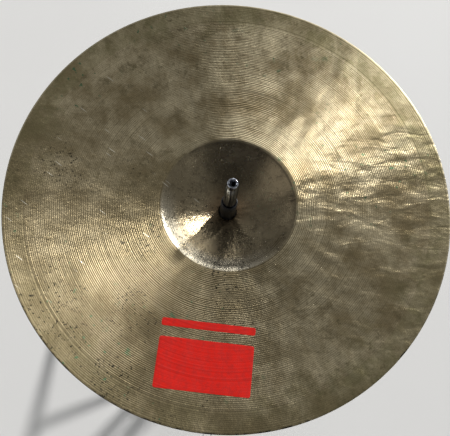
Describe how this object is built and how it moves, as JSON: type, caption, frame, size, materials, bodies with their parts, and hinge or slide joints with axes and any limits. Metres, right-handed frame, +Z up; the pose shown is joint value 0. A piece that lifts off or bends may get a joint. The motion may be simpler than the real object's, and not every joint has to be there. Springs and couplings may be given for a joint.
{
  "type": "hi-hat stand with cymbal",
  "caption": "Pedal hi-hat stand on a folding tripod, with its bottom cymbal lying hollow side up on a felt seat around the pull rod.",
  "frame": {"origin": "on the floor, on the axis of the pull rod and tubes; it is also the centre of the base of the bounding box", "axes": "+Z up along the tubes; the pedal's heel points towards -Y; +X to the right seen from the heel"},
  "size_m": [0.5416, 0.622, 0.895],
  "materials": {
    "cast_frame": "satin chrome-plated casting",
    "chrome_tube": "bright chrome plate",
    "leg_steel": "chrome-plated strip with a fine grain",
    "hardware": "zinc-plated steel",
    "board_alloy": "cast and tumbled aluminium, satin",
    "chain_steel": "oiled roller chain",
    "spring_steel": "drawn spring wire",
    "nylon_white": "moulded nylon",
    "black_plastic": "black moulded nylon",
    "black_rubber": "moulded black rubber",
    "felt": "pressed grey-black wool felt",
    "cymbal_bronze": "hammered and lathed bronze, tarnished olive, with a red printed mark"
  },
  "bodies": {
    "base": {"base_frame": "cast_frame", "base_pads": "black_rubber", "rod_guide_bush": "nylon_white", "lower_tube": "chrome_tube", "hub_bolt": "hardware", "strut_pins": "hardware", "height_clamp": "cast_frame", "tube_bush": "nylon_white", "clamp_nut": "hardware", "heel_plate": "cast_frame", "heel_pad": "black_rubber", "hinge_pin": "hardware", "heel_screws": "hardware", "link_rods": "hardware", "return_spring": "spring_steel"},
    "footboard": {"footboard": "board_alloy", "toe_bracket": "board_alloy", "toe_pin": "hardware", "toe_screws": "hardware"},
    "pull_rod": {"rod_clevis": "cast_frame", "clevis_pin": "hardware", "pull_rod": "chrome_tube", "spring_collar": "hardware", "rod_lock_nut": "hardware", "rod_coupler": "chrome_tube"},
    "chain": {"chain_outer_links": "chain_steel", "chain_inner_links": "chain_steel", "chain_rollers": "chain_steel", "chain_pins": "hardware"},
    "tension_knob": {"tension_knob": "black_plastic"},
    "clamp_wing_bolt": {"clamp_wing_bolt": "hardware"},
    "leg_collar": {"leg_collar": "cast_frame", "leg_pins": "hardware"},
    "leg_wing_bolt": {"leg_wing_bolt": "hardware"},
    "upper_tube": {"upper_tube": "chrome_tube", "memory_lock": "cast_frame", "seat_base": "black_plastic", "seat_sleeve": "black_plastic"},
    "memory_key_bolt": {"memory_key_bolt": "hardware"},
    "tilt_screw": {"tilt_screw": "black_plastic"},
    "seat_tilt": {"tilt_plate": "hardware", "seat_felt": "felt"},
    "bottom_cymbal": {"bottom_cymbal": "cymbal_bronze"},
    "leg_1": {"leg_1": "leg_steel", "leg_rivets_1": "hardware", "foot_1": "black_rubber"},
    "strut_1": {"strut_1": "leg_steel", "strut_spacer_1": "hardware"},
    "leg_2": {"leg_2": "leg_steel", "leg_rivets_2": "hardware", "foot_2": "black_rubber"},
    "strut_2": {"strut_2": "leg_steel", "strut_spacer_2": "hardware"},
    "leg_3": {"leg_3": "leg_steel", "leg_rivets_3": "hardware", "foot_3": "black_rubber"},
    "strut_3": {"strut_3": "leg_steel", "strut_spacer_3": "hardware"}
  },
  "joints": [
    {"name": "footboard_hinge", "type": "hinge", "parent": "base", "child": "footboard", "pos_m": [0, -0.25, 0.026], "axis": [-1, 0, 0], "range_deg": [0, 8.8], "stiffness_Nm_per_rad": 20, "springref_deg": -11.46},
    {"name": "pull_rod_slide", "type": "slide", "parent": "base", "child": "pull_rod", "axis": [0, 0, -1], "range_m": [0, 0.03876], "deforming": ["return_spring"]},
    {"name": "chain_swing", "type": "hinge", "parent": "pull_rod", "child": "chain", "pos_m": [0, 0, 0.108], "axis": [1, 0, 0], "range_deg": [0, 5.66]},
    {"name": "tension_knob_turn", "type": "hinge", "parent": "base", "child": "tension_knob", "pos_m": [0, 0, 0.163], "axis": [0, 0, 1], "range_deg": [0, 300]},
    {"name": "clamp_wing_bolt_turn", "type": "hinge", "parent": "base", "child": "clamp_wing_bolt", "pos_m": [0, -0.024, 0.586], "axis": [1, 0, 0], "range_deg": [0, 360]},
    {"name": "leg_collar_slide", "type": "slide", "parent": "base", "child": "leg_collar", "axis": [0, 0, 1], "range_m": [0, 0.05017]},
    {"name": "leg_wing_bolt_turn", "type": "hinge", "parent": "leg_collar", "child": "leg_wing_bolt", "pos_m": [0.01732, 0.01, 0.3925], "axis": [0.866, 0.5, 0], "range_deg": [0, 360]},
    {"name": "upper_tube_slide", "type": "slide", "parent": "base", "child": "upper_tube", "axis": [0, 0, 1], "range_m": [-0.06, 0.1]},
    {"name": "memory_key_bolt_turn", "type": "hinge", "parent": "upper_tube", "child": "memory_key_bolt", "pos_m": [0, -0.019, 0.682], "axis": [1, 0, 0], "range_deg": [0, 360]},
    {"name": "tilt_screw_travel", "type": "slide", "parent": "upper_tube", "child": "tilt_screw", "axis": [0, 0, 1], "range_m": [0, 0.002]},
    {"name": "seat_tilt", "type": "hinge", "parent": "upper_tube", "child": "seat_tilt", "pos_m": [0, 0.0145, 0.8136], "axis": [-1, 0, 0], "range_deg": [0, 2.98]},
    {"name": "cymbal_spin", "type": "hinge", "parent": "seat_tilt", "child": "bottom_cymbal", "pos_m": [0, 0, 0.8218], "axis": [0, 0, 1], "continuous": true},
    {"name": "leg_1_fold", "type": "hinge", "parent": "leg_collar", "child": "leg_1", "pos_m": [0, 0.031, 0.3925], "axis": [-1, 0, 0], "range_deg": [0, 25.2]},
    {"name": "strut_1_fold", "type": "hinge", "parent": "base", "child": "strut_1", "pos_m": [0, 0.031, 0.148], "axis": [1, 0, 0], "range_deg": [0, 25.2]},
    {"name": "leg_2_fold", "type": "hinge", "parent": "leg_collar", "child": "leg_2", "pos_m": [-0.02685, -0.0155, 0.3925], "axis": [0.5, -0.866, 0], "range_deg": [0, 25.2]},
    {"name": "strut_2_fold", "type": "hinge", "parent": "base", "child": "strut_2", "pos_m": [-0.02685, -0.0155, 0.148], "axis": [-0.5, 0.866, 0], "range_deg": [0, 25.2]},
    {"name": "leg_3_fold", "type": "hinge", "parent": "leg_collar", "child": "leg_3", "pos_m": [0.02685, -0.0155, 0.3925], "axis": [0.5, 0.866, 0], "range_deg": [0, 25.2]},
    {"name": "strut_3_fold", "type": "hinge", "parent": "base", "child": "strut_3", "pos_m": [0.02685, -0.0155, 0.148], "axis": [-0.5, -0.866, 0], "range_deg": [0, 25.2]}
  ],
  "couplings": [
    {"joint": "pull_rod_slide", "follows": "footboard_hinge", "m_per_rad": 0.25238},
    {"joint": "chain_swing", "follows": "footboard_hinge", "ratio": 0.6427},
    {"joint": "seat_tilt", "follows": "tilt_screw_travel", "rad_per_m": 25.974},
    {"joint": "leg_1_fold", "follows": "leg_collar_slide", "rad_per_m": 8.7673},
    {"joint": "strut_1_fold", "follows": "leg_collar_slide", "rad_per_m": 8.7673},
    {"joint": "leg_2_fold", "follows": "leg_collar_slide", "rad_per_m": 8.7673},
    {"joint": "strut_2_fold", "follows": "leg_collar_slide", "rad_per_m": 8.7673},
    {"joint": "leg_3_fold", "follows": "leg_collar_slide", "rad_per_m": 8.7673},
    {"joint": "strut_3_fold", "follows": "leg_collar_slide", "rad_per_m": 8.7673}
  ]
}
